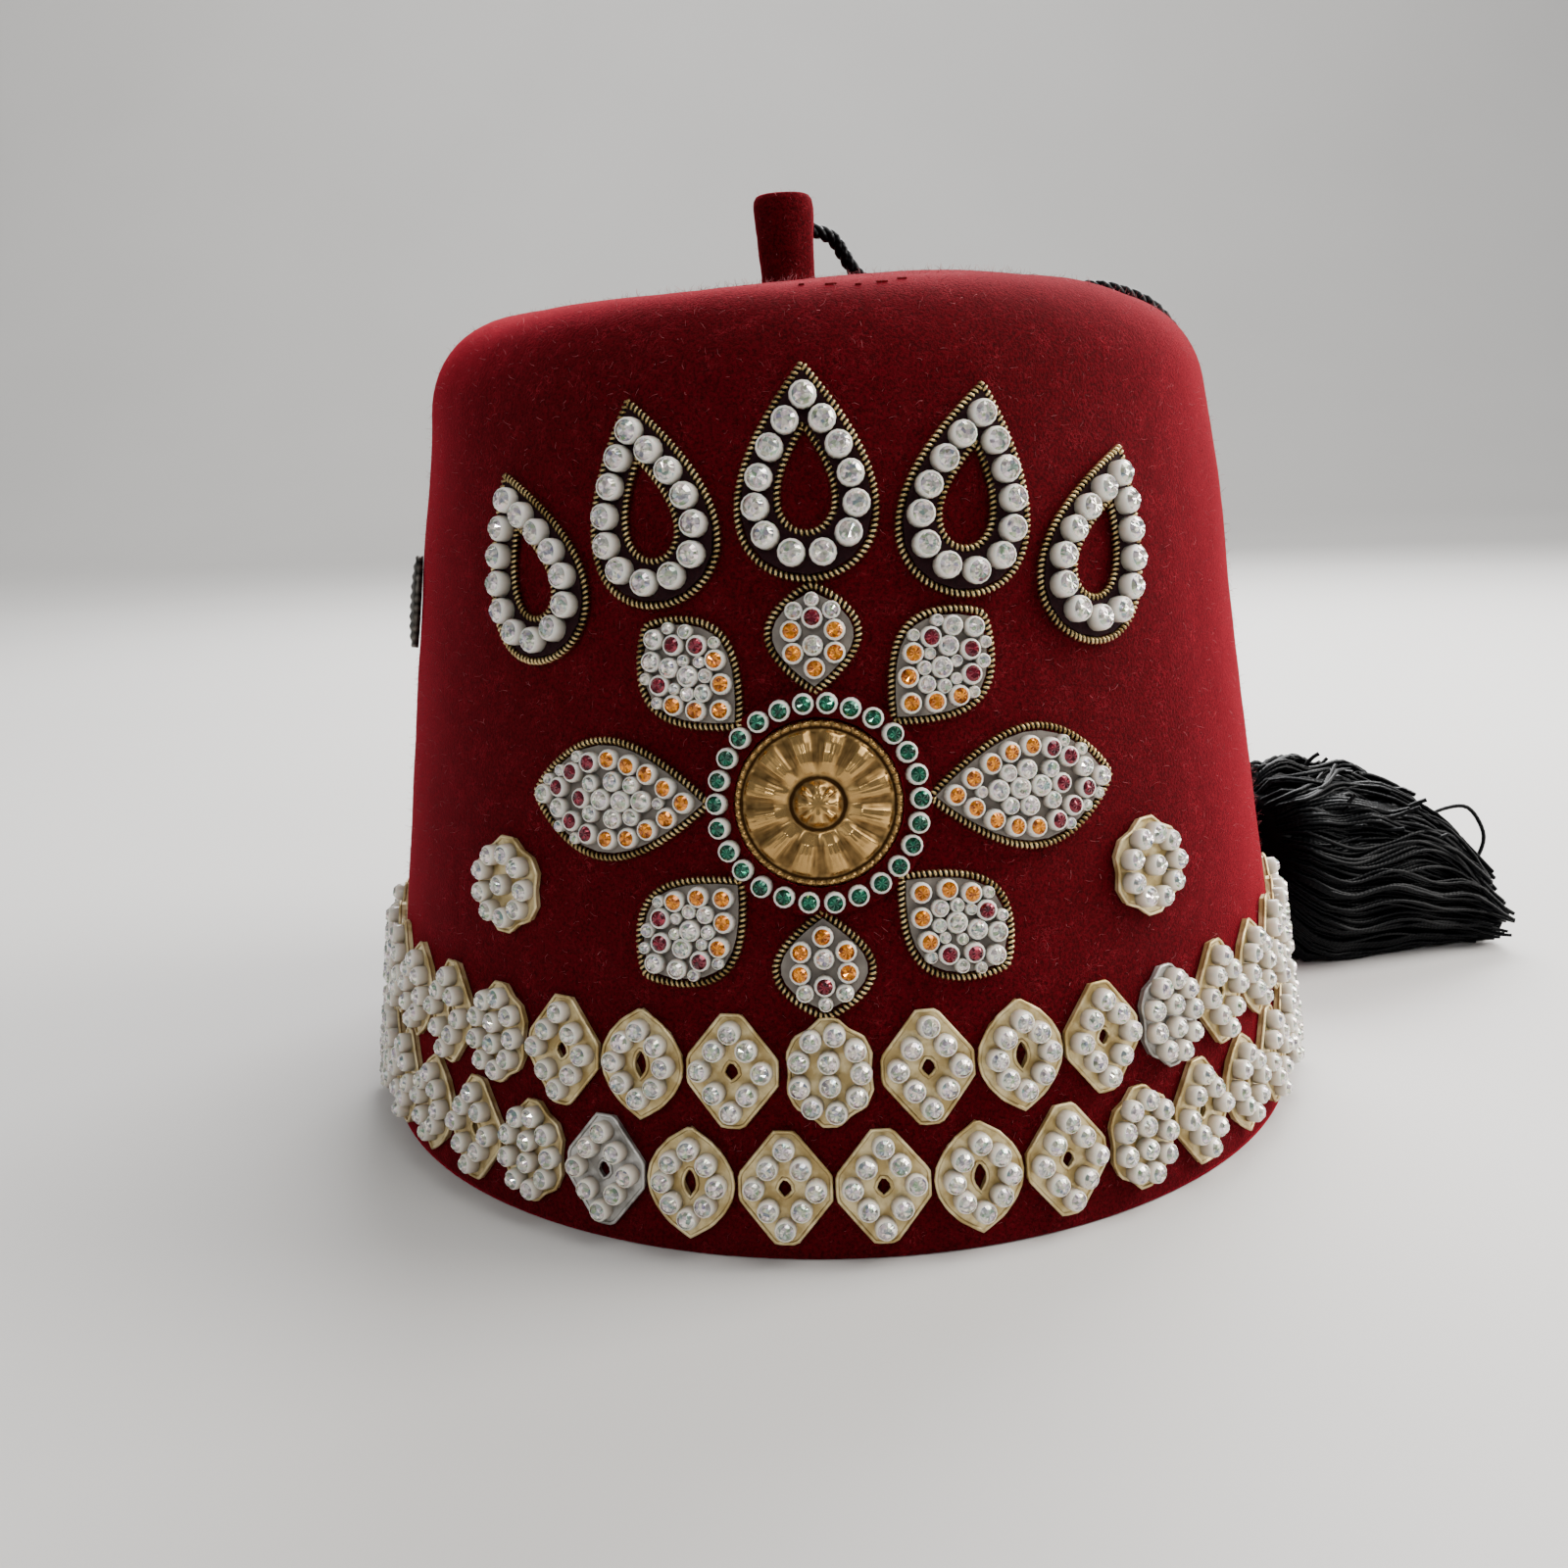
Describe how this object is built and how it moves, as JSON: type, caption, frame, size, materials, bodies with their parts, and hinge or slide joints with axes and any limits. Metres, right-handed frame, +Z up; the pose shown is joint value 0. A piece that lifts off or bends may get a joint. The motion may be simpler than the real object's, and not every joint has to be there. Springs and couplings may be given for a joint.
{
  "type": "fez hat",
  "caption": "Red felt fez with jewelled flower motifs, gilt plates, a felt stem, a twisted cord and a black silk tassel.",
  "frame": {"origin": "centre of the rim's lower edge, on the surface that the hat rests on, without its cord and tassel", "axes": "+Z up through the crown, -Y towards the jewelled front, +X towards the side where the tassel lies"},
  "size_m": [0.2568, 0.1998, 0.1698],
  "materials": {
    "red_felt": "matt wool felt",
    "black_silk": "silk cord and strands",
    "jewelled_felt": "ivory backing set with cut glass stones",
    "gilt_leather": "pale gold foil on stiffened leather",
    "brass": "stamped, lacquered",
    "dark_metal": "oxidised"
  },
  "bodies": {
    "root": {"felt_crown": "red_felt", "stem": "red_felt", "tassel_cord": "black_silk", "tassel": "black_silk", "medallion": "brass", "stone_ring": "jewelled_felt", "petal_1": "jewelled_felt", "petal_2": "jewelled_felt", "petal_3": "jewelled_felt", "petal_4": "jewelled_felt", "petal_5": "jewelled_felt", "petal_6": "jewelled_felt", "petal_7": "jewelled_felt", "petal_8": "jewelled_felt", "loop_far_left": "jewelled_felt", "loop_left": "jewelled_felt", "loop_middle": "jewelled_felt", "loop_right": "jewelled_felt", "loop_far_right": "jewelled_felt", "tile_upper_1": "gilt_leather", "tile_upper_2": "gilt_leather", "tile_upper_3": "gilt_leather", "tile_upper_4": "gilt_leather", "tile_upper_5": "gilt_leather", "tile_upper_6": "gilt_leather", "tile_upper_7": "gilt_leather", "tile_upper_8": "gilt_leather", "tile_upper_9": "gilt_leather", "tile_upper_10": "gilt_leather", "tile_upper_11": "gilt_leather", "tile_upper_12": "gilt_leather", "tile_upper_13": "gilt_leather", "tile_upper_14": "gilt_leather", "tile_upper_15": "gilt_leather", "tile_upper_16": "gilt_leather", "tile_upper_17": "gilt_leather", "tile_upper_18": "gilt_leather", "tile_upper_19": "gilt_leather", "tile_lower_1": "gilt_leather", "tile_lower_2": "gilt_leather", "tile_lower_3": "gilt_leather", "tile_lower_4": "gilt_leather", "tile_lower_5": "gilt_leather", "tile_lower_6": "gilt_leather", "tile_lower_7": "gilt_leather", "tile_lower_8": "gilt_leather", "tile_lower_9": "gilt_leather", "tile_lower_10": "gilt_leather", "tile_lower_11": "gilt_leather", "tile_lower_12": "gilt_leather", "tile_lower_13": "gilt_leather", "tile_lower_14": "gilt_leather", "tile_lower_15": "gilt_leather", "tile_lower_16": "gilt_leather", "tile_lower_17": "gilt_leather", "tile_lower_18": "gilt_leather", "side_flower_left": "gilt_leather", "side_flower_right": "gilt_leather", "side_pin": "dark_metal"}
  },
  "joints": []
}
